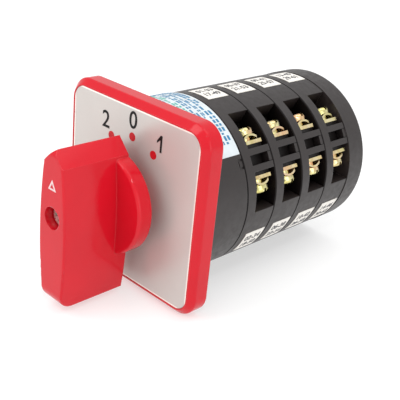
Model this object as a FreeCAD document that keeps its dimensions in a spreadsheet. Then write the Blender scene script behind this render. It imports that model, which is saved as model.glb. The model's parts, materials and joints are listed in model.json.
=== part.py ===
import FreeCAD, Part

# Rotary cam changeover switch, panel mounted, three positions (2 - 0 - 1), four contact stages.
# Frame: origin on the shaft axis at the panel plane, X right, Y back into the body, Z up, millimetres.
# The switch body is turned against the front plate, so its inner parts are drawn in a body frame:
# x along the terminal axis, y along the shaft from the part's own front, z across the terminal axis.

import math
import os
import re

from FreeCAD import Placement, Rotation, Vector

os.makedirs("parts", exist_ok=True)
doc = FreeCAD.newDocument("changeover_switch")

DIMS = {
    # front plate
    "plate_half": 32.0,
    "plate_corner": 7.5,
    "plate_depth": 6.9,
    "plate_floor": 2.0,
    "legend_half": 29.55,
    "legend_corner": 5.0,
    "legend_face": 6.7,
    "legend_thick": 1.0,
    "dot_circle": 20.0,
    "dot_radius": 1.4,
    "ink_thick": 0.08,
    "hub_hole": 9.0,
    # handle
    "knob_rear": 11.9,
    "knob_front": 16.9,
    "knob_radius": 16.85,
    "grip_front": 36.4,
    "grip_tip": 21.6,
    "grip_shoulder": 16.9,
    "grip_foot": 30.0,
    "grip_waist": 6.4,
    "grip_end": 4.7,
    "neck_radius": 8.5,
    "neck_rear": 3.5,
    "screw_well": 3.6,
    "web_front": 30.2,
    "web_rear": 24.0,
    # shaft, detent and stop
    "shaft_half": 3.5,
    "socket_half": 3.55,
    "shaft_rear": 75.0,
    "journal_radius": 3.4,
    "journal_rear": 80.0,
    "bush_radius": 7.0,
    "hub_radius": 6.0,
    "run_gap": 0.05,
    "star_radius": 13.0,
    "star_front": 4.2,
    "star_rear": 8.4,
    "notch_radius": 2.6,
    "notch_circle": 14.2,
    "leaf_seat": 14.6,
    "leaf_thick": 0.6,
    "leaf_half": 12.5,
    "nose_radius": 2.3,
    "stop_front": 11.0,
    "stop_thick": 1.5,
    "stop_arm": 13.0,
    "stop_open": 13.6,
    "stop_angle": 14.0,
    "travel_angle": 30.0,
    # body
    "body_turn": 30.0,
    "body_radius": 29.5,
    "housing_length": 17.8,
    "pitch": 14.0,
    "cover_length": 9.2,
    "cover_radius": 29.7,
    "seam": 0.35,
    "front_wall": 3.0,
    "cavity_radius": 22.5,
    "seat_radius": 24.0,
    "flange_half": 28.0,
    "flange_thick": 2.5,
    "flange_corner": 6.0,
    "panel_half": 24.0,
    "panel_hole": 2.25,
    "tie_circle": 20.5,
    "tie_radius": 2.0,
    "boss_radius": 4.0,
    # contact stage
    "stage_wall": 4.1,
    "cam_room": 13.2,
    "chamber_end": 18.5,
    "chamber_half": 10.4,
    "channel_end": 24.6,
    "window_floor": 26.0,
    "slot_half": 1.7,
    "slot_front": 3.7,
    "tongue_length": 1.6,
    "pocket_inner": 19.3,
    "pocket_side": 3.85,
    "pocket_deep": 13.0,
    "pocket_outer": 31.0,
    "pocket_mouth": 20.95,
    "seat_top": 5.2,
    "seat_end": 26.6,
    "strip_thick": 1.2,
    "strip_inner": 17.25,
    "strip_outer": 27.8,
    "strip_front": 5.35,
    "strip_rear": 12.75,
    "contact_offset": 7.4,
    "contact_radius": 1.9,
    "contact_high": 0.7,
    "screw_offset": 23.9,
    "screw_radius": 2.0,
    "head_radius": 3.4,
    "head_low": 8.6,
    "head_top": 11.0,
    "clamp_half": 3.0,
    "clamp_thick": 0.7,
    "clamp_curve": 5.0,
    "mid_depth": 9.05,
    # moving contacts
    "cam_radius": 9.2,
    "cam_front": 5.0,
    "cam_rear": 12.6,
    "tip_radius": 1.5,
    "travel": 1.8,
    "plunger_half": 2.6,
    "plunger_front": 6.05,
    "plunger_rear": 12.05,
    "stem_start": 16.4,
    "stem_end": 21.0,
    "stem_half": 1.6,
    "nib_radius": 0.8,
    "nib_length": 1.2,
    "bridge_inner": 13.0,
    "bridge_thick": 1.0,
    "bridge_half": 9.4,
    "spring_radius": 1.25,
    "spring_wire": 0.16,
    # labels
    "label_gap": 0.05,
    "label_thick": 0.15,
    "label_front": 3.4,
    "label_rear": 12.8,
    "label_half": 4.8,
    "sticker_front": 2.8,
    "sticker_rear": 17.2,
}
STAGES = 4
NOTCHES = 12
SIDES = (1, -1)

sheet = doc.addObject("Spreadsheet::Sheet", "Dims")
for row, (alias, value) in enumerate(DIMS.items(), 1):
    sheet.set(f"A{row}", alias)
    sheet.set(f"B{row}", str(value))
    sheet.setAlias(f"B{row}", alias)
doc.recompute()

finished = []


def bind(obj, prop, formula):
    """Drive a property by a formula in the named dimensions."""
    named = re.sub(r"[a-z_]+", lambda m: "Dims." + m[0] if m[0] in DIMS else m[0], str(formula))
    obj.setExpression(prop, named)


def move(obj, x, y, z):
    for axis, formula in zip("xyz", (x, y, z)):
        bind(obj, "Placement.Base." + axis, formula)
    return obj


def box(name, x, y, z):
    """A box between the (low, high) formulas given for each axis."""
    obj = doc.addObject("Part::Box", name)
    for prop, (low, high) in zip(("Length", "Width", "Height"), (x, y, z)):
        bind(obj, prop, f"({high}) - ({low})")
    return move(obj, x[0], y[0], z[0])


TURNS = {
    "x": Rotation(Vector(0, 1, 0), 90),
    "y": Rotation(Vector(1, 0, 0), -90),
    "z": Rotation(),
}


def rod(name, axis, radius, span, centre=(0, 0)):
    """A cylinder along an axis; centre holds the other two coordinates in x, y, z order."""
    obj = doc.addObject("Part::Cylinder", name)
    bind(obj, "Radius", radius)
    bind(obj, "Height", f"({span[1]}) - ({span[0]})")
    obj.Placement = Placement(Vector(), TURNS[axis])
    spot = list(centre)
    spot.insert("xyz".index(axis), span[0])
    return move(obj, *spot)


def fuse(name, *shapes):
    obj = doc.addObject("Part::MultiFuse", name)
    obj.Shapes = list(shapes)
    return obj


def cut(name, base, *tools):
    obj = doc.addObject("Part::Cut", name)
    obj.Base = base
    obj.Tool = tools[0] if len(tools) == 1 else fuse(name + "_tools", *tools)
    return obj


def common(name, *shapes):
    obj = doc.addObject("Part::MultiCommon", name)
    obj.Shapes = list(shapes)
    return obj


def group(name, shapes):
    """Several identical fasteners kept as one sub-part."""
    obj = doc.addObject("Part::Compound", name)
    obj.Links = list(shapes)
    return obj


def soften(kind, name, base, size, chosen):
    """Fillet or chamfer of the edges for which chosen(edge) is true."""
    doc.recompute()
    obj = doc.addObject("Part::" + kind, name)
    obj.Base = base
    edges = base.Shape.Edges
    obj.Edges = [(i, size, size) for i, edge in enumerate(edges, 1) if chosen(edge)]
    return obj


def on_plane(axis, value):
    """Test for edges that lie in the plane axis = value."""
    def test(edge):
        low = getattr(edge.BoundBox, axis.upper() + "Min")
        high = getattr(edge.BoundBox, axis.upper() + "Max")
        return abs(low - value) < 0.01 and abs(high - value) < 0.01
    return test


def along(axis):
    """Test for straight edges along an axis."""
    def test(edge):
        return len(edge.Vertexes) == 2 and all(
            abs(getattr(edge.Vertexes[0].Point - edge.Vertexes[1].Point, other)) < 0.01
            for other in "xyz" if other != axis
        )
    return test


def turned(obj, angle, depth=0):
    """Turn a shape about the shaft axis, angle measured from X towards Z, and set its depth."""
    if obj.isDerivedFrom("Part::Primitive"):
        obj = group(obj.Name + "_turned", [obj])
    obj.Placement = Placement(Vector(), Rotation(Vector(0, 1, 0), -angle))
    return move(obj, 0, depth, 0)


def finish(obj, label):
    obj.Label = label
    finished.append(obj)
    return obj


def station(stage):
    """Depth of a contact stage's front face."""
    return f"housing_length + {stage} * pitch"


def in_body(obj, side=1, depth=0):
    """Stand a body-frame shape on the terminal axis, or on its opposite."""
    angle = DIMS["body_turn"] + (0 if side > 0 else 180)
    return turned(obj, angle, depth)


def rounded_plate(name, half, corner, y):
    span = (f"-({half})", half)
    return soften("Fillet", name, box(name + "_blank", span, y, span), DIMS[corner], along("y"))


def square_hole(name, span):
    side = ("-socket_half", "socket_half")
    return box(name, side, span, side)


# ---------------------------------------------------------------- front plate

def escutcheon_frame():
    block = rounded_plate("frame_block", "plate_half", "plate_corner", ("-plate_depth", 0))
    front = on_plane("y", -DIMS["plate_depth"])
    rim = soften("Chamfer", "frame_rim", block, 2.0, front)
    rim = soften("Fillet", "frame_soft", rim, 0.8, on_plane("y", 2.0 - DIMS["plate_depth"]))
    recess = rounded_plate(
        "frame_recess", "legend_half", "legend_corner",
        ("-plate_depth - 1", "legend_thick - legend_face"),
    )
    hollow = box(
        "frame_hollow", ("2.5 - plate_half", "plate_half - 2.5"),
        ("legend_thick + plate_floor - legend_face", 1),
        ("2.5 - plate_half", "plate_half - 2.5"),
    )
    posts = [
        rod("frame_post", "y", 4.5, ("0.5 - plate_depth + legend_thick", 0),
            (f"{x} * panel_half", f"{z} * panel_half"))
        for x in SIDES for z in SIDES
    ]
    holes = [
        rod("frame_hole", "y", "panel_hole", ("-plate_depth", 1),
            (f"{x} * panel_half", f"{z} * panel_half"))
        for x in SIDES for z in SIDES
    ]
    collar = rod("frame_collar", "y", "hub_hole + 2", ("0.5 - plate_depth + legend_thick", 0))
    bore = rod("frame_bore", "y", "hub_hole", ("-plate_depth", 1))
    shell = fuse("frame_ribbed", cut("frame_shell", rim, recess, hollow), collar, *posts)
    finish(cut("frame", shell, bore, *holes), "escutcheon_frame")


def legend_plate():
    plate = rounded_plate(
        "legend_blank", "legend_half - 0.05", "legend_corner",
        ("-legend_face", "legend_thick - legend_face"),
    )
    hole = rod("legend_hole", "y", "hub_hole", ("-legend_face - 1", 0))
    finish(cut("legend", plate, hole), "legend_plate")


def position_dots():
    dots = []
    for step in (-1, 0, 1):
        turn = f"{step} * travel_angle"
        dots.append(rod(
            "position_dot", "y", "dot_radius", ("-legend_face - ink_thick", "-legend_face"),
            (f"dot_circle * sin({turn})", f"dot_circle * cos({turn})"),
        ))
    finish(group("dots", dots), "position_dots")


# ---------------------------------------------------------------- handle and rotor

def outline(name, edges):
    """A closed sketch in the X-Z plane, facing the front."""
    sketch = doc.addObject("Sketcher::SketchObject", name)
    sketch.Placement = Placement(Vector(), Rotation(Vector(1, 0, 0), 90))
    sketch.addGeometry(edges, False)
    return sketch


def extrude(name, sketch, start, length):
    """Extrude an X-Z outline backwards from a depth."""
    obj = doc.addObject("Part::Extrusion", name)
    obj.Base = sketch
    obj.DirMode = "Custom"
    obj.Dir = Vector(0, 1, 0)
    obj.Solid = True
    bind(obj, "LengthFwd", length)
    bind(obj, "Placement.Base.y", start)
    return obj


def grip_edges():
    """Barrel sides, pointed top at 45 degrees, flat foot."""
    end, waist = DIMS["grip_end"], DIMS["grip_waist"]
    top, foot = DIMS["grip_shoulder"], -DIMS["grip_foot"]
    belly = (top + foot) / 2
    tip = Vector(0, DIMS["grip_tip"], 0)
    left, right = Vector(-end, top, 0), Vector(end, top, 0)
    low_left, low_right = Vector(-end, foot, 0), Vector(end, foot, 0)
    return [
        Part.Arc(low_left, Vector(-waist, belly, 0), left),
        Part.LineSegment(left, tip),
        Part.LineSegment(tip, right),
        Part.Arc(right, Vector(waist, belly, 0), low_right),
        Part.LineSegment(low_right, low_left),
    ]


def handle():
    disc = rod("knob_disc", "y", "knob_radius", ("-knob_front", "-knob_rear"))
    disc = soften("Fillet", "knob_soft", disc, 1.0, on_plane("y", -DIMS["knob_front"]))
    bar = extrude("grip_bar", outline("grip_outline", grip_edges()), "-grip_front", "grip_front - knob_rear")
    envelope = box(
        "grip_envelope", ("-knob_radius", "knob_radius"), ("-grip_front", "-knob_rear"),
        ("-grip_foot", "grip_tip"),
    )
    front = -DIMS["grip_front"]
    low = soften("Fillet", "grip_heel", envelope, 5.0, lambda e: on_plane("y", front)(e)
                 and on_plane("z", -DIMS["grip_foot"])(e))
    high = soften("Fillet", "grip_brow", low, 2.5, lambda e: on_plane("y", front)(e)
                  and on_plane("z", DIMS["grip_tip"])(e))
    grip = common("grip", bar, high)
    grip = soften("Fillet", "grip_soft", grip, 0.7, lambda e: on_plane("y", front)(e)
                  and e.Length > 20)
    neck = rod("neck", "y", "neck_radius", ("-knob_rear - 1", "-neck_rear"))
    body = fuse("handle_body", disc, grip, neck)
    well = rod("screw_well", "y", "screw_well", ("-grip_front - 1", "-web_front"))
    shank = rod("screw_way", "y", "screw_radius + 0.2", ("-grip_front", "-web_rear + 1"))
    socket = square_hole("socket", ("-web_rear", 0))
    finish(cut("handle_cut", body, well, shank, socket), "handle")


def pointer_mark():
    mark = doc.addObject("Part::Prism", "pointer")
    mark.Polygon = 3
    mark.Circumradius = 2.2
    bind(mark, "Height", "ink_thick")
    mark.Placement = Placement(Vector(), Rotation(Vector(1, 0, 0), -90) * Rotation(Vector(0, 0, 1), -90))
    core = doc.addObject("Part::Prism", "pointer_core")
    core.Polygon = 3
    core.Circumradius = 1.1
    bind(core, "Height", "ink_thick")
    core.Placement = mark.Placement
    arrow = cut("pointer_outline", mark, core)
    finish(move(arrow, 0, "-grip_front - ink_thick", 10.2), "pointer_mark")


def handle_screw():
    head = rod("handle_screw_head", "y", "head_radius - 0.1", ("-web_front - 3.5", "-web_front - 0.9"))
    head = soften("Fillet", "handle_screw_dome", head, 0.7,
                  on_plane("y", -DIMS["web_front"] - 3.5))
    shank = rod("handle_screw_shank", "y", "screw_radius", ("-web_front - 1", "-16"))
    slots = [
        box("driver_slot", ("-2.1", 2.1), ("-web_front - 4", "-web_front - 2.2"), ("-0.45", 0.45)),
        box("driver_cross", ("-0.45", 0.45), ("-web_front - 4", "-web_front - 2.2"), ("-2.1", 2.1)),
    ]
    finish(cut("handle_screw_cut", fuse("handle_screw_body", head, shank), *slots), "handle_screw")
    ring = rod("lock_ring", "y", "head_radius - 0.1", ("-web_front - 0.9", "-web_front"))
    hole = rod("lock_hole", "y", "screw_radius + 0.2", ("-web_front - 1", 0))
    split = box("lock_split", ("-0.3", 0.3), ("-web_front - 1", 0), (0, 4))
    finish(cut("lock_washer", ring, hole, split), "handle_lock_washer")


def drive_shaft():
    side = ("-shaft_half", "shaft_half")
    bar = box("shaft_bar", side, ("-web_rear", "shaft_rear"), side)
    bar = soften("Chamfer", "shaft_bar_soft", bar, 0.6, along("y"))
    journal = rod("shaft_journal", "y", "journal_radius", ("shaft_rear - 1", "journal_rear"))
    thread = rod("shaft_thread", "y", "screw_radius + 0.05", ("-web_rear - 1", "-14"))
    finish(cut("shaft", fuse("shaft_body", bar, journal), thread), "drive_shaft")


def shaft_bushing():
    sleeve = rod("bush_sleeve", "y", "bush_radius", (0, "front_wall + 1"))
    bore = rod("bush_bore", "y", "hub_radius + run_gap", (-1, "front_wall + 2"))
    finish(cut("bush", sleeve, bore), "shaft_bushing")


def detent_wheel():
    disc = rod("star_disc", "y", "star_radius", ("star_front", "star_rear"))
    notches = []
    for i in range(NOTCHES):
        turn = i * 360 / NOTCHES
        notches.append(rod(
            "star_notch", "y", "notch_radius", ("star_front - 1", "star_rear + 1"),
            (f"notch_circle * cos({turn})", f"notch_circle * sin({turn})"),
        ))
    hub = rod("star_hub", "y", "hub_radius", (-0.5, "stop_front - 0.2"))
    wheel = fuse("star_body", cut("star_teeth", disc, *notches), hub)
    finish(cut("star_wheel", wheel, square_hole("star_socket", (-2, "stop_front"))), "detent_star_wheel")


def stop_pair():
    arm_angle, travel = DIMS["stop_angle"], DIMS["travel_angle"]
    arm = sector("stop_arm_slice", arm_angle, "stop_arm", ("stop_front", "stop_front + stop_thick"))
    hub = rod("stop_arm_hub", "y", "hub_radius + 1", ("stop_front", "stop_front + stop_thick"))
    hole = square_hole("stop_arm_hole", ("stop_front - 1", "stop_front + stop_thick + 1"))
    finish(cut("stop_arm_cut", fuse("stop_arm_body", hub, arm), hole), "stop_arm")
    plate = rod("stop_disc", "y", "seat_radius - 0.1", ("stop_front", "stop_front + stop_thick"))
    window = sector("stop_window", arm_angle + travel + 0.3, "stop_open",
                    ("stop_front - 1", "stop_front + stop_thick + 1"))
    centre = rod("stop_centre", "y", "hub_radius + 1.5", ("stop_front - 1", "stop_front + 3"))
    posts = [
        turned(rod("stop_post_way", "y", "boss_radius + 0.1", ("stop_front - 1", "stop_front + 3"),
                   (0, f"{side} * tie_circle")), DIMS["body_turn"])
        for side in SIDES
    ]
    finish(cut("stop_plate_cut", plate, window, centre, *posts), "stop_plate")


def sector(name, angle, reach, span):
    """A pie slice about the shaft, centred on +Z and angle wide to each side."""
    obj = doc.addObject("Part::Cylinder", name)
    bind(obj, "Radius", reach)
    bind(obj, "Height", f"({span[1]}) - ({span[0]})")
    obj.Angle = 2 * angle
    obj.Placement = Placement(Vector(), Rotation(Vector(0, 1, 0), -90 - angle) * TURNS["y"])
    return move(obj, 0, span[0], 0)


def detent_springs():
    """A leaf on each side, its round nose resting in a notch of the wheel."""
    span = ("star_front + 0.4", "star_rear - 0.4")
    for side, label in zip(SIDES, ("detent_spring_right", "detent_spring_left")):
        leaf = box("leaf", ("leaf_seat", "leaf_seat + leaf_thick"), span, ("-leaf_half", "leaf_half"))
        nose = rod("leaf_nose", "y", "nose_radius", span, ("notch_circle", 0))
        room = rod("leaf_room", "y", "nose_radius - leaf_thick", ("star_front", "star_rear"),
                   ("notch_circle", 0))
        back = box("leaf_back", ("leaf_seat + leaf_thick", 20), ("star_front", "star_rear"), (-5, 5))
        spring = cut("leaf_spring", fuse("leaf_body", leaf, nose), room, back)
        finish(turned(spring, 0 if side > 0 else 180), label)


# ---------------------------------------------------------------- mechanism housing and cover

def mechanism_housing():
    drum = rod("housing_drum", "y", "body_radius", (0, "housing_length"))
    drum = soften("Chamfer", "housing_drum_soft", drum, DIMS["seam"],
                  on_plane("y", DIMS["housing_length"]))
    flange = rounded_plate("housing_flange", "flange_half", "flange_corner", (0, "flange_thick"))
    cavity = rod("housing_cavity", "y", "cavity_radius", ("front_wall", "housing_length + 1"))
    seat = rod("housing_seat", "y", "seat_radius", ("stop_front", "housing_length + 1"))
    panel_holes = [
        rod("panel_hole", "y", "panel_hole", (-1, "flange_thick + 1"),
            (f"{x} * panel_half", f"{z} * panel_half"))
        for x in SIDES for z in SIDES
    ]
    bush_hole = rod("housing_bush_hole", "y", "bush_radius", (-1, "front_wall + 1"))
    shell = cut("housing_shell", fuse("housing_blank", drum, flange), cavity, seat, bush_hole, *panel_holes)
    bosses, bolt_holes = [], []
    for side in SIDES:
        spot = (0, f"{side} * tie_circle")
        bosses.append(turned(
            rod("tie_boss", "y", "boss_radius", ("front_wall - 0.5", "housing_length"), spot),
            DIMS["body_turn"]))
        bolt_holes.append(turned(
            rod("tie_thread", "y", "tie_radius + run_gap", ("front_wall + 3", "housing_length + 1"), spot),
            DIMS["body_turn"]))
    pegs = [
        rod("leaf_peg", "y", 1.2, ("front_wall - 0.5", "star_rear"),
            (f"{x} * (leaf_seat + leaf_thick + 1.25)", f"{z} * (leaf_half - 1.5)"))
        for x in SIDES for z in SIDES
    ]
    tab = in_body(box("tab_slot", (29, 31), (15.5, 17.5), ("-slot_half", "slot_half")))
    island = in_body(box("tab_island", (28.5, 29.3), (16.2, "housing_length - seam"), (-0.9, 0.9)))
    filled = fuse("housing_filled", shell, *bosses, *pegs)
    carved = cut("housing_carved", filled, tab, *bolt_holes)
    finish(fuse("housing", carved, island), "mechanism_housing")


def tongue(front):
    """The rib that closes the window of the stage in front."""
    span = (f"{front} - tongue_length", f"{front} + 1")
    block = box("tongue_block", ("window_floor + 0.2", "body_radius"), span,
                ("0.15 - slot_half", "slot_half - 0.15"))
    limit = rod("tongue_limit", "y", "body_radius - 0.2", span)
    return common("tongue", block, limit)


def rear_cover():
    front = station(STAGES)
    drum = rod("cover_drum", "y", "cover_radius", (front, f"{front} + cover_length"))
    rear = DIMS["housing_length"] + STAGES * DIMS["pitch"] + DIMS["cover_length"]
    drum = soften("Fillet", "cover_soft", drum, 0.9, on_plane("y", rear))
    bearing = rod("cover_bearing", "y", "journal_radius + run_gap", (f"{front} - 1", "journal_rear + 0.5"))
    clearance = rod("cover_clearance", "y", 5.2, (f"{front} - 1", "shaft_rear + 0.3"))
    wells, ways, tongues = [], [], []
    for side in SIDES:
        spot = (0, f"{side} * tie_circle")
        end = f"{front} + cover_length"
        wells.append(in_body(rod("bolt_well", "y", "boss_radius + 0.4",
                                 (f"{end} - 4.4", f"{end} + 1"), spot)))
        ways.append(in_body(rod("bolt_way", "y", "tie_radius + 0.2", (f"{front} - 1", end), spot)))
        tongues.append(in_body(tongue(front), side))
    body = cut("cover_cut", drum, bearing, clearance, *wells, *ways)
    finish(fuse("cover", body, *tongues), "rear_cover")


def tie_bolts():
    rear = f"{station(STAGES)} + cover_length"
    bolts = []
    for side in SIDES:
        spot = (0, f"{side} * tie_circle")
        shank = rod("tie_shank", "y", "tie_radius", ("front_wall + 3.5", f"{rear} - 3.5"), spot)
        head = rod("tie_head", "y", "boss_radius - 0.3", (f"{rear} - 3.6", f"{rear} - 1"), spot)
        slot = box("tie_slot", (-3, 3), (f"{rear} - 1.9", rear), (f"{spot[1]} - 0.5", f"{spot[1]} + 0.5"))
        bolts.append(in_body(cut("tie_bolt", fuse("tie_bolt_body", shank, head), slot)))
    finish(group("tie_bolt_group", bolts), "tie_bolts")
    washers = []
    for side in SIDES:
        spot = (0, f"{side} * tie_circle")
        ring = rod("tie_ring", "y", "boss_radius", (f"{rear} - 4.4", f"{rear} - 3.6"), spot)
        hole = rod("tie_ring_hole", "y", "tie_radius + 0.2", (f"{rear} - 5", f"{rear} - 3"), spot)
        washers.append(in_body(cut("tie_washer", ring, hole)))
    finish(group("tie_washer_group", washers), "tie_washers")


# ---------------------------------------------------------------- contact stages

def pocket(up):
    """A terminal pocket that widens outwards: a wedge whose long axis is the terminal axis."""
    obj = doc.addObject("Part::Wedge", "pocket")
    near, deep, mouth = "pocket_side", "pocket_deep", "pocket_mouth"
    if up < 0:
        near, deep, mouth = "-pocket_deep", "-pocket_side", "-pocket_side"
    formulas = {
        "Xmin": "-pitch - 1", "Xmax": "-stage_wall", "X2min": "-pitch - 1", "X2max": "-stage_wall",
        "Ymin": "pocket_inner", "Ymax": "pocket_outer",
        "Zmin": near, "Zmax": deep, "Z2min": near if up > 0 else "-pocket_mouth", "Z2max": mouth,
    }
    for prop, formula in formulas.items():
        bind(obj, prop, formula)
    obj.Placement = Placement(Vector(), Rotation(Vector(0, 0, 1), -90))
    return obj


def across(low, high, up):
    """A range across the terminal axis, mirrored for the lower terminal."""
    return (low, high) if up > 0 else (f"-({high})", f"-({low})")


def side_hollows(side):
    """Everything cut from one side of a stage: plunger channel, window, pockets, screw holes."""
    half = ("-slot_half", "slot_half")
    depth = "pitch + 1"
    shapes = [
        box("channel", ("chamber_end - 1", "channel_end"), ("stage_wall", depth), half),
        box("window", ("window_floor", "body_radius + 1"), ("slot_front", depth), half),
    ]
    for up in SIDES:
        seat = box("seat", ("pocket_inner - 1", "seat_end"), ("stage_wall - 1", "pitch - 0.4"),
                   across("pocket_side - 1", "seat_top", up))
        strip_way = box("strip_way", ("chamber_end - 0.5", "pocket_inner + 0.5"),
                        ("strip_front - 0.05", depth), across("seat_top", "seat_top + strip_thick + 0.05", up))
        screw_way = rod("screw_way", "z", "screw_radius + 0.2", across("seat_top - 2.4", "seat_top + 1", up),
                        ("screw_offset", "mid_depth"))
        shapes += [cut("pocket_room", pocket(up), seat), strip_way, screw_way]
    return turned(fuse("side_hollows", *shapes), 0 if side > 0 else 180)


def stage_housing(stage):
    drum = rod("stage_drum", "y", "body_radius", (0, "pitch"))
    drum = soften("Chamfer", "stage_drum_soft", drum, DIMS["seam"], lambda e: not along("y")(e))
    depth = "pitch + 1"
    hollows = [
        rod("cam_room", "y", "cam_room", ("stage_wall", depth)),
        box("chamber", ("-chamber_end", "chamber_end"), ("stage_wall", depth),
            ("-chamber_half", "chamber_half")),
        rod("shaft_way", "y", 5.2, (-1, "pitch")),
    ]
    hollows += [
        rod("tie_way", "y", "tie_radius + 0.2", (-1, depth), (0, f"{side} * tie_circle"))
        for side in SIDES
    ]
    hollows += [side_hollows(side) for side in SIDES]
    body = cut("stage_cut", drum, *hollows)
    if stage:
        body = fuse("stage_body", body, *[turned(tongue(0), 0 if side > 0 else 180) for side in SIDES])
    finish(in_body(body, 1, station(stage)), f"stage_housing_{stage + 1}")


def cam_reach(angle):
    """Follower centre radius: rises evenly by the travel over each step, then levels off."""
    linear, blend = 0.66, 0.45
    rate = DIMS["travel"] / math.radians(DIMS["travel_angle"])
    size = abs(angle)
    rise = min(size, linear)
    if size > linear:
        rise += 2 * blend / math.pi * math.sin(min((size - linear) / blend, 1) * math.pi / 2)
    centre = DIMS["cam_radius"] + DIMS["tip_radius"] + DIMS["run_gap"]
    return centre + math.copysign(rate * rise, angle)


def cam_point(turn):
    """A point of the cam outline: the follower's path moved in by its tip and the running gap."""
    def path(t):
        angle = t if math.cos(t) >= 0 else math.pi - t
        reach = cam_reach(math.remainder(angle, 2 * math.pi))
        return Vector(reach * math.cos(t), reach * math.sin(t), 0)
    step = 1e-4
    along_path = path(turn + step) - path(turn - step)
    inward = Vector(-along_path.y, along_path.x, 0).normalize()
    return path(turn) + inward * (DIMS["tip_radius"] + DIMS["run_gap"])


def cam(stage):
    curve = Part.BSplineCurve()
    points = 72
    curve.interpolate([cam_point(2 * math.pi * i / points) for i in range(points)], PeriodicFlag=True)
    disc = extrude("cam_disc", outline("cam_outline", [curve]), "cam_front", "cam_rear - cam_front")
    hub = rod("cam_hub", "y", 5.6, ("stage_wall + 0.2", "pitch - 0.2"))
    socket = turned(square_hole("cam_socket", (0, "pitch")), -DIMS["body_turn"])
    body = cut("cam_cut", fuse("cam_body", disc, hub), socket)
    finish(in_body(body, 1, station(stage)), f"cam_{stage + 1}")


def plunger(stage, side, label):
    span = ("plunger_front", "plunger_rear")
    tip_at = "cam_radius + tip_radius + run_gap"
    tip = rod("plunger_tip", "y", "tip_radius", span, (tip_at, 0))
    neck = box("plunger_neck", (tip_at, "bridge_inner - 1"), span, ("-tip_radius", "tip_radius"))
    body = box("plunger_block", ("bridge_inner - 1.3", "stem_start"), span, ("-plunger_half", "plunger_half"))
    stem = box("plunger_stem", ("stem_start - 0.5", "stem_end"), span, ("-stem_half", "stem_half"))
    nib = rod("plunger_nib", "x", "nib_radius", ("stem_end - 0.5", "stem_end + nib_length"), ("mid_depth", 0))
    window = box("bridge_way", ("bridge_inner - 0.05", "bridge_inner + bridge_thick + 0.05"),
                 ("mid_depth - 2.5", "mid_depth + 2.5"), (-5, 5))
    shape = cut("plunger_cut", fuse("plunger_body", tip, neck, body, stem, nib), window)
    finish(in_body(shape, side, station(stage)), "plunger_" + label)


def bridge_contact(stage, side, label):
    bar = box("bridge_bar", ("bridge_inner", "bridge_inner + bridge_thick"),
              ("mid_depth - 2.45", "mid_depth + 2.45"), ("-bridge_half", "bridge_half"))
    buttons = [
        rod("bridge_button", "x", "contact_radius",
            ("bridge_inner + bridge_thick", "bridge_inner + bridge_thick + contact_high"),
            ("mid_depth", f"{up} * contact_offset"))
        for up in SIDES
    ]
    shape = fuse("bridge", bar, *buttons)
    finish(in_body(shape, side, station(stage)), "bridge_contact_" + label)


def return_spring(stage, side, label):
    """Coil between the plunger's stem and the end of its channel, drawn at rest, of eight-sided wire."""
    helix = doc.addObject("Part::Helix", "spring_helix")
    bind(helix, "Radius", "spring_radius")
    bind(helix, "Height", "channel_end - stem_end - 4 * spring_wire")
    bind(helix, "Pitch", "(channel_end - stem_end - 4 * spring_wire) / 4")
    section = doc.addObject("Part::RegularPolygon", "spring_section")
    section.Polygon = 8
    bind(section, "Circumradius", "spring_wire")
    section.Placement = Placement(Vector(), Rotation(Vector(1, 0, 0), 90))
    move(section, "spring_radius", 0, 0)
    coil = doc.addObject("Part::Sweep", "spring_coil")
    coil.Sections = [section]
    coil.Spine = (helix, [])
    coil.Solid = True
    coil.Frenet = True
    coil.Placement = Placement(Vector(), TURNS["x"])
    move(coil, "stem_end + 2 * spring_wire", "mid_depth", 0)
    holder = group("spring_holder", [coil])
    finish(in_body(holder, side, station(stage)), "return_spring_" + label)


def terminal(side, up):
    """A strip with its inner end bent across, carrying the fixed contact."""
    width = ("strip_front", "strip_rear")
    level = across("seat_top", "seat_top + strip_thick", up)
    strip = box("strip", ("strip_inner", "strip_outer"), width, level)
    lug = box("strip_lug", ("strip_inner", "strip_inner + strip_thick"), width,
              across("seat_top", "contact_offset + 2.2", up))
    button = rod("fixed_button", "x", "contact_radius", ("strip_inner - contact_high", "strip_inner"),
                 ("mid_depth", f"{up} * contact_offset"))
    hole = rod("strip_hole", "z", "screw_radius + 0.15", across("seat_top - 1", "seat_top + 3", up),
               ("screw_offset", "mid_depth"))
    return turned(cut("terminal", fuse("terminal_body", strip, lug, button), hole), 0 if side > 0 else 180)


def clamp_washer(side, up):
    """A saddle washer, arched along the shaft direction, held up under the head of the slackened screw."""
    low, high = "seat_top + strip_thick", "head_low"
    block = box("clamp_block", ("screw_offset - clamp_half", "screw_offset + clamp_half"),
                ("mid_depth - clamp_half", "mid_depth + clamp_half"), across(low, high, up))
    reach = ("screw_offset - clamp_half - 1", "screw_offset + clamp_half + 1")
    centre = ("mid_depth", f"{up} * (head_low - clamp_curve)")
    crown = rod("clamp_crown", "x", "clamp_curve", reach, centre)
    arch = rod("clamp_arch", "x", "clamp_curve - clamp_thick", reach, centre)
    hole = rod("clamp_hole", "z", "screw_radius + 0.2", across(low, "head_low + 1", up),
               ("screw_offset", "mid_depth"))
    plate = common("clamp_plate", block, crown)
    return turned(cut("clamp", plate, arch, hole), 0 if side > 0 else 180)


def terminal_screw(side, up):
    spot = ("screw_offset", "mid_depth")
    head = rod("screw_head", "z", "head_radius", across("head_low", "head_top", up), spot)
    head = soften("Fillet", "screw_dome", head, 1.3, on_plane("z", up * DIMS["head_top"]))
    shank = rod("screw_shank", "z", "screw_radius", across("seat_top - 2.2", "head_low + 0.5", up), spot)
    slot = box("screw_slot", ("screw_offset - 4", "screw_offset + 4"), ("mid_depth - 0.5", "mid_depth + 0.5"),
               across("head_top - 1.2", "head_top + 1", up))
    return turned(cut("screw", fuse("screw_body", head, shank), slot), 0 if side > 0 else 180)


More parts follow.
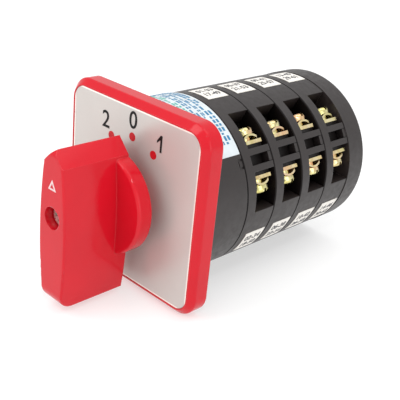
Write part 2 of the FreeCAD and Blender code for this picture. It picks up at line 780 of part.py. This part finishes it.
def stage_hardware(maker, stage):
    """The four copies of a terminal piece in one stage."""
    pieces = group(maker.__name__ + "_set", [maker(side, up) for side in SIDES for up in SIDES])
    return in_body(pieces, 1, station(stage))


# ---------------------------------------------------------------- labels

def curved_label(name, angle, half, span):
    """A thin curved plate on the drum, centred at an angle from X towards Z."""
    outer = rod(name + "_outer", "y", "body_radius + label_gap + label_thick", span)
    inner = rod(name + "_inner", "y", "body_radius + label_gap", span)
    window = box(name + "_window", (15, 31), span, (f"-({half})", half))
    return turned(common(name, cut(name + "_ring", outer, inner), window), angle)


def stage_labels():
    labels = []
    for stage in range(STAGES):
        span = (f"{station(stage)} + label_front", f"{station(stage)} + label_rear")
        for side in SIDES:
            for up in SIDES:
                angle = DIMS["body_turn"] + side * 90 + up * 30
                labels.append(curved_label("label", angle, "label_half", span))
    finish(group("label_set", labels), "stage_labels")


def rating_sticker():
    span = ("sticker_front", "sticker_rear")
    sticker = curved_label("sticker", DIMS["body_turn"] + 60, "body_radius * sin(54)", span)
    finish(sticker, "rating_sticker")


escutcheon_frame()
legend_plate()
position_dots()
handle()
pointer_mark()
handle_screw()
drive_shaft()
shaft_bushing()
detent_wheel()
stop_pair()
detent_springs()
mechanism_housing()
rear_cover()
tie_bolts()
rating_sticker()
stage_labels()
for stage in range(STAGES):
    stage_housing(stage)
    cam(stage)
    for side, letter in zip(SIDES, "ab"):
        label = f"{stage + 1}{letter}"
        plunger(stage, side, label)
        bridge_contact(stage, side, label)
        return_spring(stage, side, label)
    finish(stage_hardware(terminal, stage), f"terminals_{stage + 1}")
finish(group("screw_sets", [stage_hardware(terminal_screw, s) for s in range(STAGES)]), "terminal_screws")
finish(group("clamp_sets", [stage_hardware(clamp_washer, s) for s in range(STAGES)]), "clamp_washers")

doc.recompute()
for obj in doc.Objects:
    if "Invalid" in obj.State or "Error" in obj.State:
        raise RuntimeError(f"{obj.Name} did not compute: {obj.State}")
for obj in finished:
    shape = obj.Shape
    if shape.isNull() or not shape.isValid() or not shape.Solids:
        raise RuntimeError(f"{obj.Label} has no valid solid")
    shape.exportStep(f"parts/{obj.Label}.step")
    print(obj.Label, len(shape.Solids), round(shape.Volume, 1), [round(v, 1) for v in (
        shape.BoundBox.XMin, shape.BoundBox.YMin, shape.BoundBox.ZMin,
        shape.BoundBox.XMax, shape.BoundBox.YMax, shape.BoundBox.ZMax)])
print(len(finished), "sub-parts")
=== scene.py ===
import json
import math
import random

import bmesh
import bpy
from mathutils import Matrix, Vector


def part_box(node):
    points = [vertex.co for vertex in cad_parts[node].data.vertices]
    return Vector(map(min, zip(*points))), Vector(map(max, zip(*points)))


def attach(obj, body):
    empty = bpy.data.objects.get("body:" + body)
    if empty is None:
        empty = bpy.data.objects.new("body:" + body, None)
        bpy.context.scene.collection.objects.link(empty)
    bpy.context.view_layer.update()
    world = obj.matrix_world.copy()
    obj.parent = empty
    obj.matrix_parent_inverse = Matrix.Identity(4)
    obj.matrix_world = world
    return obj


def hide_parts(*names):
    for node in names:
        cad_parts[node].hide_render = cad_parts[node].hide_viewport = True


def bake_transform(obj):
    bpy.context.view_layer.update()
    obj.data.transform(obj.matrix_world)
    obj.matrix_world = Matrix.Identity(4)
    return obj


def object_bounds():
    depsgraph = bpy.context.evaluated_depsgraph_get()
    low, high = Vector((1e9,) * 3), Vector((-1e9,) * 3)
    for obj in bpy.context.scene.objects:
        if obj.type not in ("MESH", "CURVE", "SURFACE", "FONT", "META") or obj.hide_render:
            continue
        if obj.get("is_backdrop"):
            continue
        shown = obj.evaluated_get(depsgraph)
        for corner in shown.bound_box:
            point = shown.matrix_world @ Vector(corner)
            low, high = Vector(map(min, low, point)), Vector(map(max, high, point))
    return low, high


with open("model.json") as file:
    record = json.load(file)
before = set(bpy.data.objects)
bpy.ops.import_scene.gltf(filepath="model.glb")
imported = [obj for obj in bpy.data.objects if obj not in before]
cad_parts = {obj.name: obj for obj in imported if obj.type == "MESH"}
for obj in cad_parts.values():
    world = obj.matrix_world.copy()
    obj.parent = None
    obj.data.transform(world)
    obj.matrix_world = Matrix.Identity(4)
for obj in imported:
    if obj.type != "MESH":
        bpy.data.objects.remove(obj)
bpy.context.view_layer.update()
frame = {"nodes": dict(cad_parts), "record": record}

MM = 0.001
rng = random.Random(7)
nodes = frame["nodes"]
STAGES = 4
LABEL_SETBACK = 3.4 * MM  # from a stage's front seam to its labels
legend_low, legend_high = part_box("legend_plate")
label_low, label_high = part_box("stage_labels")
first_seam = label_low.y - LABEL_SETBACK
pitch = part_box("stage_housing_3")[0].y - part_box("stage_housing_2")[0].y


# ---------------------------------------------------------------- materials

def grey(value):
    return (value, value, value, 1.0)


def scaled(colour, factor):
    return tuple(min(1.0, c * factor) for c in colour[:3]) + (1.0,)


class Finish:
    """Small builder for a procedural material on object coordinates."""

    def __init__(self, name, colour, rough, metallic=0.0, coat=0.0, specular=0.5):
        self.material = bpy.data.materials.new(name)
        self.material.use_nodes = True
        self.tree = self.material.node_tree
        self.shader = self.tree.nodes["Principled BSDF"]
        self.shader.inputs["Metallic"].default_value = metallic
        self.shader.inputs["Coat Weight"].default_value = coat
        self.shader.inputs["Coat Roughness"].default_value = 0.08
        self.shader.inputs["Specular IOR Level"].default_value = specular
        self.coordinates = self.node("ShaderNodeTexCoord").outputs["Object"]
        self.colour = colour
        self.rough = rough
        self.out = None
        self.normal = None

    def node(self, kind, **inputs):
        made = self.tree.nodes.new(kind)
        for key, value in inputs.items():
            made.inputs[key.replace("_", " ")].default_value = value
        return made

    def link(self, source, target):
        self.tree.links.new(source, target)

    def noise(self, size, detail=3.0, stretch=(1, 1, 1)):
        """Noise whose features are about size millimetres across."""
        mapping = self.node("ShaderNodeMapping")
        mapping.inputs["Scale"].default_value = stretch
        self.link(self.coordinates, mapping.inputs["Vector"])
        made = self.node("ShaderNodeTexNoise", Scale=1 / (size * MM), Detail=detail)
        self.link(mapping.outputs["Vector"], made.inputs["Vector"])
        return made.outputs["Fac"]

    def ramp(self, source, low, high, low_value, high_value):
        made = self.node("ShaderNodeMapRange")
        made.inputs["From Min"].default_value = low
        made.inputs["From Max"].default_value = high
        made.inputs["To Min"].default_value = low_value
        made.inputs["To Max"].default_value = high_value
        self.link(source, made.inputs["Value"])
        return made.outputs["Result"]

    def mix(self, factor, first, second):
        made = self.node("ShaderNodeMix")
        made.data_type = "RGBA"
        for value, key in ((first, "A"), (second, "B")):
            socket = [s for s in made.inputs if s.name == key and s.type == "RGBA"][0]
            if isinstance(value, tuple):
                socket.default_value = value
            else:
                self.link(value, socket)
        self.link(factor, made.inputs["Factor"])
        return [s for s in made.outputs if s.type == "RGBA"][0]

    def mottle(self, size, amount, stretch=(1, 1, 1)):
        """Slow colour variation, darker and lighter by amount."""
        fac = self.ramp(self.noise(size, 4.0, stretch), 0.3, 0.7, 0.0, 1.0)
        self.out = self.mix(fac, scaled(self.colour, 1 - amount), scaled(self.colour, 1 + amount))
        return self

    def tint(self, size, first, second):
        """Large patches that lean towards one of two other colours."""
        patch = self.noise(size, 1.0)
        for colour, low, high in ((first, 0.52, 0.64), (second, 0.48, 0.36)):
            lean = self.ramp(patch, low, high, 0.0, 0.8)
            self.out = self.mix(lean, self.out or self.colour, colour)
        return self

    def wear(self, colour, low=0.52, high=0.60, strength=0.5):
        """Paler, rubbed convex edges."""
        pointed = self.node("ShaderNodeNewGeometry").outputs["Pointiness"]
        edge = self.ramp(pointed, low, high, 0.0, strength)
        patch = self.ramp(self.noise(2.5, 5.0), 0.35, 0.65, 0.2, 1.0)
        self.out = self.mix(self.math("MULTIPLY", edge, patch), self.out or self.colour, colour)
        return self

    def math(self, operation, *values):
        """A maths node on sockets or numbers."""
        made = self.tree.nodes.new("ShaderNodeMath")
        made.operation = operation
        for i, value in enumerate(values):
            if isinstance(value, (int, float)):
                made.inputs[i].default_value = value
            else:
                self.link(value, made.inputs[i])
        return made.outputs[0]

    def shade(self, seams, spacing, count, half, deep, open_air, least, specular):
        """Darken the joints between the stages, and paint shade over whatever lies deep inside them.

        The first joint is at y = seams, and there are count stages. From the radius open_air
        inwards to deep, colour and specular level fall to the share least, as painted shade.
        """
        axes = self.tree.nodes.new("ShaderNodeSeparateXYZ")
        self.link(self.coordinates, axes.inputs[0])
        x, y, z = axes.outputs
        squares = (self.math("MULTIPLY", x, x), self.math("MULTIPLY", z, z))
        radius = self.math("SQRT", self.math("ADD", *squares))
        beyond = self.math("ADD", self.math("LESS_THAN", y, seams - half),
                           self.math("GREATER_THAN", y, seams + count * spacing - half))
        inside = self.math("MAXIMUM", self.ramp(radius, deep, open_air, least, 1.0), beyond)
        joint = self.math("PINGPONG", self.math("SUBTRACT", y, seams), spacing / 2)
        clean = self.math("MAXIMUM", self.ramp(joint, half * 0.6, half, 0.25, 1.0), beyond)
        light = self.math("MULTIPLY", inside, clean)
        black = scaled(self.colour, 0.1)
        self.out = self.mix(light, black, self.out or self.colour)
        self.link(self.math("MULTIPLY", light, specular), self.shader.inputs["Specular IOR Level"])
        return self

    def painted_rim_highlight(self, colour, reach, width, strength):
        """A painted highlight: a bright line along the rim of a square plate that lies in the X-Z plane."""
        axes = self.tree.nodes.new("ShaderNodeSeparateXYZ")
        self.link(self.coordinates, axes.inputs[0])
        x, _, z = axes.outputs
        off_axis = self.math("MAXIMUM", self.math("ABSOLUTE", x), self.math("ABSOLUTE", z))
        rim = self.ramp(off_axis, reach - width, reach - width / 2, 0.0, strength)
        self.out = self.mix(rim, self.out, colour)
        return self

    def soften_with_wear_and_highlight(self, radius, colour, strength):
        """Round every edge off a little in the shading, and paint the outer ones paler: partly rubbed wear,
        partly a painted highlight along the edges.
        """
        rounded = self.tree.nodes.new("ShaderNodeBevel")
        rounded.samples = 6
        rounded.inputs["Radius"].default_value = radius
        surface = self.tree.nodes.new("ShaderNodeNewGeometry").outputs
        turned = self.tree.nodes.new("ShaderNodeVectorMath")
        turned.operation = "DOT_PRODUCT"
        self.link(rounded.outputs["Normal"], turned.inputs[0])
        self.link(surface["Normal"], turned.inputs[1])
        outer = self.ramp(surface["Pointiness"], 0.500, 0.506, 0.0, strength)
        near_edge = self.ramp(turned.outputs["Value"], 0.99, 0.90, 0.0, 1.0)
        edge = self.math("MULTIPLY", outer, near_edge)
        patch = self.ramp(self.noise(2.5, 5.0), 0.35, 0.65, 0.3, 1.0)
        self.out = self.mix(self.math("MULTIPLY", edge, patch), self.out or self.colour, colour)
        self.normal = rounded.outputs["Normal"]
        return self

    def gloss(self, size, spread, stretch=(1, 1, 1)):
        """Roughness that wanders by spread either way."""
        fac = self.ramp(self.noise(size, 4.0, stretch), 0.3, 0.7, self.rough - spread, self.rough + spread)
        self.link(fac, self.shader.inputs["Roughness"])
        return self

    def bump(self, size, height, stretch=(1, 1, 1), detail=3.0):
        """Relief of about height micrometres."""
        made = self.node("ShaderNodeBump", Strength=1.0, Distance=height * 1e-6)
        self.link(self.noise(size, detail, stretch), made.inputs["Height"])
        if self.normal:
            self.link(self.normal, made.inputs["Normal"])
        self.normal = made.outputs["Normal"]
        return self

    def done(self):
        """Wire what was built to the shader, and return the material."""
        if self.out is None:
            self.shader.inputs["Base Color"].default_value = self.colour
        else:
            self.link(self.out, self.shader.inputs["Base Color"])
        if not self.shader.inputs["Roughness"].is_linked:
            self.shader.inputs["Roughness"].default_value = self.rough
        if self.normal:
            self.link(self.normal, self.shader.inputs["Normal"])
        return self.material


# the paler edges of the red plastic are partly rubbed wear and partly a painted highlight
red_plastic = (Finish("red_plastic_moulded", (0.56, 0.006, 0.016, 1), 0.13, specular=0.28)
               .mottle(14, 0.04).soften_with_wear_and_highlight(0.45 * MM, (0.80, 0.14, 0.15, 1), 0.45)
               .gloss(3.0, 0.03).bump(0.5, 1.5).bump(12, 25).done())
# a painted highlight runs along the rim of the legend plate
legend_metal = (Finish("legend_brushed", (0.57, 0.54, 0.51, 1), 0.37, metallic=0.38)
                .mottle(18, 0.03).painted_rim_highlight((1.0, 0.97, 0.90, 1), legend_high.x, 0.7 * MM, 1.0)
                .gloss(2.0, 0.05, (1, 1, 12)).bump(0.3, 5, (14, 1, 1)).done())
# the paler edges of the body are partly rubbed wear and partly a painted highlight
black_plastic = (Finish("body_plastic_moulded", (0.018, 0.0130, 0.0125, 1), 0.42)
                 .mottle(10, 0.10).soften_with_wear_and_highlight(0.30 * MM, (0.06, 0.055, 0.055, 1), 0.5)
                 # painted shade deep inside the pockets, and dark joints between the stages
                 .shade(seams=first_seam, spacing=pitch, count=STAGES, half=0.40 * MM,
                        deep=24 * MM, open_air=28.6 * MM, least=0.12, specular=0.55)
                 .gloss(2.0, 0.08).bump(0.22, 14).done())
COPPERY, GREENISH = (0.86, 0.44, 0.22, 1), (0.70, 0.64, 0.22, 1)
brass = (Finish("brass_passivated", (0.86, 0.62, 0.26, 1), 0.24, metallic=1.0)
         .mottle(1.6, 0.30).tint(13, COPPERY, GREENISH).wear((0.98, 0.88, 0.66, 1), strength=0.6)
         .gloss(0.8, 0.08).bump(0.5, 30).done())
screw_brass = (Finish("brass_screw", (0.84, 0.66, 0.32, 1), 0.22, metallic=1.0)
               .mottle(0.9, 0.45).tint(11, COPPERY, GREENISH).wear((0.98, 0.92, 0.74, 1), strength=0.8)
               .gloss(0.7, 0.10).bump(0.9, 90).done())
steel = (Finish("steel_zinc", (0.74, 0.74, 0.68, 1), 0.30, metallic=0.8)
         .mottle(1.5, 0.15).gloss(0.8, 0.08).bump(0.2, 8).done())
nylon = (Finish("nylon_natural", (0.62, 0.57, 0.45, 1), 0.45)
         .mottle(4, 0.06).gloss(2, 0.05).bump(0.3, 8).done())
paper = (Finish("label_paper", (0.80, 0.77, 0.72, 1), 0.55)
         .mottle(5, 0.04).gloss(2, 0.06).bump(0.15, 4).done())
sticker_base = (Finish("sticker_film", (0.62, 0.68, 0.71, 1), 0.35, coat=0.2)
                .mottle(6, 0.08).gloss(2, 0.05).bump(0.3, 3).done())


def ink(name, colour, rough, mottling, specular=0.5):
    """A printing ink, the same all over but for fine mottling."""
    size, amount = mottling
    return Finish(name, colour, rough, specular=specular).mottle(size, amount).bump(0.1, 3).done()


ink_black = ink("ink_black", (0.010, 0.009, 0.009, 1), 0.5, (0.8, 0.3), specular=0.15)
ink_grey = ink("ink_grey", (0.06, 0.06, 0.07, 1), 0.5, (0.8, 0.25))
ink_blue = ink("ink_blue", (0.03, 0.19, 0.36, 1), 0.45, (0.8, 0.2))
ink_green = ink("ink_green", (0.08, 0.40, 0.34, 1), 0.45, (0.8, 0.2))
ink_red = ink("ink_red", (0.50, 0.008, 0.014, 1), 0.4, (0.8, 0.15), specular=0.2)
ink_white = ink("ink_white", (0.74, 0.56, 0.56, 1), 0.5, (0.6, 0.1))

BY_SLOT = {
    "red_plastic": red_plastic, "legend_metal": legend_metal, "black_plastic": black_plastic,
    "brass": brass, "steel": steel, "spring_steel": steel, "pale_plastic": nylon,
    "sticker_paper": sticker_base, "label_paper": paper, "red_ink": ink_red, "white_ink": ink_white,
}
for part in frame["record"]["subparts"]:
    piece = nodes[part["node"]]
    material = screw_brass if part["node"] == "terminal_screws" else BY_SLOT[part["material_slot"]]
    piece.data.materials.clear()
    piece.data.materials.append(material)


# ---------------------------------------------------------------- printed marks

def keep(name, mesh, material):
    """A finished mesh as a piece that rides on the switch body."""
    mesh.name = name
    mesh.materials.clear()
    mesh.materials.append(material)
    piece = bpy.data.objects.new(name, mesh)
    bpy.context.scene.collection.objects.link(piece)
    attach(piece, "switch_body")
    return piece


def glyphs(text, height, thick, weight=0.0):
    """A flat extruded text mesh in the X-Y plane, centred, height in metres."""
    curve = bpy.data.curves.new("glyphs", "FONT")
    curve.body = text
    curve.size = height * 1.42
    curve.extrude = thick / 2
    curve.offset = weight
    curve.resolution_u = 6
    curve.align_x = "CENTER"
    curve.align_y = "CENTER"
    holder = bpy.data.objects.new("glyphs", curve)
    bpy.context.scene.collection.objects.link(holder)
    graph = bpy.context.evaluated_depsgraph_get()
    mesh = bpy.data.meshes.new_from_object(holder.evaluated_get(graph))
    bpy.data.objects.remove(holder)
    return mesh


FACING_FRONT = Matrix.Rotation(math.radians(90), 4, "X")
INK = 0.08 * MM
NUMBER_TALL, ONE_TALL, BOLDER = 5.6 * MM, 5.4 * MM, 0.05 * MM
DIAL = (("2", -13.0, 21.6), ("0", 0.0, 25.2), ("1", 12.8, 21.8))  # number, x and z in millimetres


def numeral_one(height, thick):
    """A stem with a short slanting flag, centred."""
    stem, flag = 0.15 * height, 0.36 * height
    left, right, half = -0.02 * height, -0.02 * height + stem, height / 2
    outline = [
        (left, -half), (right, -half), (right, half), (left, half),
        (left - flag * 0.75, half - flag), (left - flag * 0.75, half - flag - stem),
        (left, half - flag * 0.75),
    ]
    made = bmesh.new()
    face = made.faces.new([made.verts.new((x, y, -thick / 2)) for x, y in outline])
    grown = bmesh.ops.extrude_face_region(made, geom=[face])["geom"]
    tops = [v for v in grown if isinstance(v, bmesh.types.BMVert)]
    bmesh.ops.translate(made, verts=tops, vec=(0, 0, thick))
    bmesh.ops.recalc_face_normals(made, faces=made.faces)
    mesh = bpy.data.meshes.new("numeral_one")
    made.to_mesh(mesh)
    made.free()
    return mesh


def dial_number(text, x, z):
    """A number of the dial on the front of the legend plate."""
    mesh = numeral_one(ONE_TALL, INK) if text == "1" else glyphs(text, NUMBER_TALL, INK, BOLDER)
    mesh.transform(Matrix.Translation((x, legend_low.y - INK / 2, z)) @ FACING_FRONT)
    keep(f"dial_number_{text}", mesh, ink_black)


for text, x, z in DIAL:
    dial_number(text, x * MM, z * MM)


BODY_TURN = math.radians(30)
label_length = label_high.y - label_low.y - (STAGES - 1) * pitch


def on_drum(mesh, radius, angle, depth, upright=1):
    """Wrap a flat mesh round the drum: its x runs along the shaft, its y round the drum, its z outwards."""
    for vertex in mesh.vertices:
        x, y, z = vertex.co
        turn = angle + upright * y / radius
        reach = radius + z
        vertex.co = (reach * math.cos(turn), depth + upright * x, reach * math.sin(turn))
    return mesh


def joined(meshes):
    """One mesh made of several."""
    made = bmesh.new()
    for mesh in meshes:
        made.from_mesh(mesh)
        bpy.data.meshes.remove(mesh)
    whole = bpy.data.meshes.new("joined")
    made.to_mesh(whole)
    made.free()
    return whole


def bar(x0, x1, y0, y1, thick, steps):
    """A flat printed bar with its underside at z = 0, cut across into steps lengths."""
    made = bmesh.new()
    rows = []
    for i in range(steps + 1):
        y = y0 + (y1 - y0) * i / steps
        rows.append([made.verts.new(p) for p in ((x0, y, 0), (x1, y, 0), (x1, y, thick), (x0, y, thick))])
    for first, second in zip(rows, rows[1:]):
        for k in range(4):
            made.faces.new((first[k], first[(k + 1) % 4], second[(k + 1) % 4], second[k]))
    made.faces.new(rows[0])
    made.faces.new(rows[-1])
    bmesh.ops.recalc_face_normals(made, faces=made.faces)
    mesh = bpy.data.meshes.new("bar")
    made.to_mesh(mesh)
    made.free()
    return mesh


# terminal numbers in two lines on each label: four labels a stage, at these turns about the shaft
PRINT = 0.07 * MM
LINE_RISE, DIGIT_TALL, HEAVIER = 1.8 * MM, 2.3 * MM, 0.04 * MM
LABEL_TURNS = ((60, 1), (-60, 1), (120, -1), (-120, -1))
labels = STAGES * len(LABEL_TURNS)
label_radius = label_high.z
label_print = []
for stage in range(STAGES):
    middle = label_low.y + label_length / 2 + stage * pitch
    for place, (turn, upright) in enumerate(LABEL_TURNS):
        angle = BODY_TURN + math.radians(turn)
        upper = len(LABEL_TURNS) * stage + place + 1
        for number, rise in ((upper, LINE_RISE), (upper + labels, -LINE_RISE)):
            text = glyphs(f"{number:02d}-{number + 2 * labels}", DIGIT_TALL, PRINT, HEAVIER)
            text.transform(Matrix.Translation((0, rise, PRINT / 2)))
            label_print.append(on_drum(text, label_radius, angle, middle, upright))
keep("label_print", joined(label_print), ink_grey)

# rows of plain bars on the sticker stand for its print: distance from its front edge, height, ink
sticker_low, sticker_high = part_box("rating_sticker")
sticker_radius = sticker_high.z
sticker_angle = BODY_TURN + math.radians(60)
HALF_SPAN = math.radians(50) * sticker_radius
LEFT_MARGIN, RIGHT_MARGIN = 2.0 * MM, 2.5 * MM
LINE_STEP, LINE_TALL = 0.62, 0.36
ROWS = (
    (0.9, 1.5, "blue"), (3.3, 1.9, "green"), (6.1, 1.8, "blue"), (8.8, 1.2, "blue"), (10.9, 2.4, "blue"),
)
sticker_print = {"blue": [], "green": []}
for offset, tall, tone in ROWS:
    y = -HALF_SPAN + LEFT_MARGIN
    while y < HALF_SPAN - RIGHT_MARGIN:
        wide = rng.uniform(0.6, 2.0) * MM
        depth = sticker_low.y + offset * MM
        for line in range(rng.choice((1, 2, 2))):
            shift = line * tall * LINE_STEP * MM
            block = bar(shift, shift + tall * LINE_TALL * MM, y, y + wide, PRINT, 2)
            sticker_print[tone].append(on_drum(block, sticker_radius, sticker_angle, depth))
        y += wide + rng.uniform(0.35, 0.8) * MM
keep("sticker_print_blue", joined(sticker_print["blue"]), ink_blue)
keep("sticker_print_green", joined(sticker_print["green"]), ink_green)

# ---------------------------------------------------------------- return springs

WIRE = 0.16 * MM  # radius
TURNS, STEPS, WIRE_SIDES = 4, 32, 10


def coil(start, along, length, radius):
    """A closed round wire wound from start in the direction along."""
    side = Vector((0, 1, 0))
    up = along.cross(side)
    angles = [math.tau * k / WIRE_SIDES for k in range(WIRE_SIDES)]
    made = bmesh.new()
    rings = []
    for step in range(TURNS * STEPS + 1):
        turn = math.tau * step / STEPS
        out = side * math.cos(turn) + up * math.sin(turn)
        centre = start + along * length * step / (TURNS * STEPS) + out * radius
        rings.append([made.verts.new(centre + (out * math.cos(a) + along * math.sin(a)) * WIRE)
                      for a in angles])
    for first, second in zip(rings, rings[1:]):
        for k in range(WIRE_SIDES):
            after = (k + 1) % WIRE_SIDES
            made.faces.new((first[k], first[after], second[after], second[k])).smooth = True
    made.faces.new(rings[0])
    made.faces.new(rings[-1])
    bmesh.ops.recalc_face_normals(made, faces=made.faces)
    mesh = bpy.data.meshes.new("coil")
    made.to_mesh(mesh)
    made.free()
    return mesh


# each return spring part is hidden and replaced by a round wire coil, wound along its contact's slide from
# the part's inner end to its outer end
for joint in frame["record"]["behaviour"]["joints"]:
    if not joint["name"].startswith("contact_slide_"):
        continue
    label = joint["name"].removeprefix("contact_slide_")
    outward = Vector(joint["axis"])
    node = f"return_spring_{label}"
    low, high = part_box(node)
    reach = [vertex.co.dot(outward) for vertex in nodes[node].data.vertices]
    near, far = min(reach) + WIRE, max(reach) - WIRE
    middle = Vector((0, (low.y + high.y) / 2, 0))
    mesh = coil(middle + outward * near, outward, far - near, (high.y - low.y) / 2 - WIRE)
    mesh.name = f"spring_coil_{label}"
    mesh.materials.append(steel)
    spring = bpy.data.objects.new(mesh.name, mesh)
    bpy.context.scene.collection.objects.link(spring)
    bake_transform(spring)
    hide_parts(node)

# ---------------------------------------------------------------- floor, light and camera

FLOOR_SIZE, FLOOR_GAP, FLOOR_GLOW = 6, 0.2 * MM, 0.52
SURROUNDINGS = 0.85
bpy.ops.mesh.primitive_plane_add(size=FLOOR_SIZE, location=(0, 0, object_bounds()[0].z - FLOOR_GAP))
floor = bpy.context.object
floor.name = "floor"
floor_finish = Finish("floor_white", grey(0.50), 0.7).mottle(300, 0.01)
floor_finish.shader.inputs["Emission Color"].default_value = grey(1.0)
floor_finish.shader.inputs["Emission Strength"].default_value = FLOOR_GLOW
floor.data.materials.append(floor_finish.done())
floor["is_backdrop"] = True

world = bpy.data.worlds.new("studio")
world.use_nodes = True
background = world.node_tree.nodes["Background"]
background.inputs["Color"].default_value = grey(1.0)
# the surroundings light the object a little less brightly than they look
seen = world.node_tree.nodes.new("ShaderNodeLightPath")
brighter = world.node_tree.nodes.new("ShaderNodeMath")
brighter.operation = "MAXIMUM"
brighter.inputs[1].default_value = SURROUNDINGS
world.node_tree.links.new(seen.outputs["Is Camera Ray"], brighter.inputs[0])
world.node_tree.links.new(brighter.outputs[0], background.inputs["Strength"])
bpy.context.scene.world = world


def soft_light(name, location, target, size, watts):
    """A rectangular area lamp, its size in metres, that faces target."""
    data = bpy.data.lights.new(name, "AREA")
    data.shape = "RECTANGLE"
    data.size, data.size_y = size
    data.energy = watts
    lamp = bpy.data.objects.new(name, data)
    lamp.location = location
    lamp.rotation_euler = (Vector(target) - Vector(location)).to_track_quat("-Z", "Y").to_euler()
    bpy.context.scene.collection.objects.link(lamp)


soft_light("key", (-0.25, -0.45, 0.55), (0, 0.02, 0), (0.5, 0.5), 2.2)
soft_light("top", (0.15, 0.15, 0.7), (0, 0.03, 0), (0.6, 0.6), 1.4)
soft_light("side", (0.65, -0.15, 0.15), (0, 0.03, 0), (0.4, 0.5), 1.0)
soft_light("glint", (0.30, -0.25, 0.45), (0, 0.0, 0), (0.05, 0.05), 0.35)

# the camera stands in front, to the right and above, and is rolled a little
AZIMUTH, ELEVATION, ROLL = (math.radians(v) for v in (42.37, 24.59, 6.03))
AIM = Vector((8.35, 18.21, -4.86)) * MM
DISTANCE, LENS, SENSOR = 260 * MM, 69.03, 36
back = Vector((math.sin(AZIMUTH) * math.cos(ELEVATION), -math.cos(AZIMUTH) * math.cos(ELEVATION),
               math.sin(ELEVATION)))
camera_data = bpy.data.cameras.new("camera")
camera_data.sensor_width = SENSOR
camera_data.lens = LENS
camera_data.clip_start = 0.01
camera = bpy.data.objects.new("camera", camera_data)
camera.location = AIM + back * DISTANCE
camera.rotation_euler = ((-back).to_track_quat("-Z", "Y").to_matrix()
                         @ Matrix.Rotation(ROLL, 3, "Z")).to_euler()
bpy.context.scene.collection.objects.link(camera)
bpy.context.scene.camera = camera
bpy.context.scene.view_settings.view_transform = "Standard"

low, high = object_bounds()
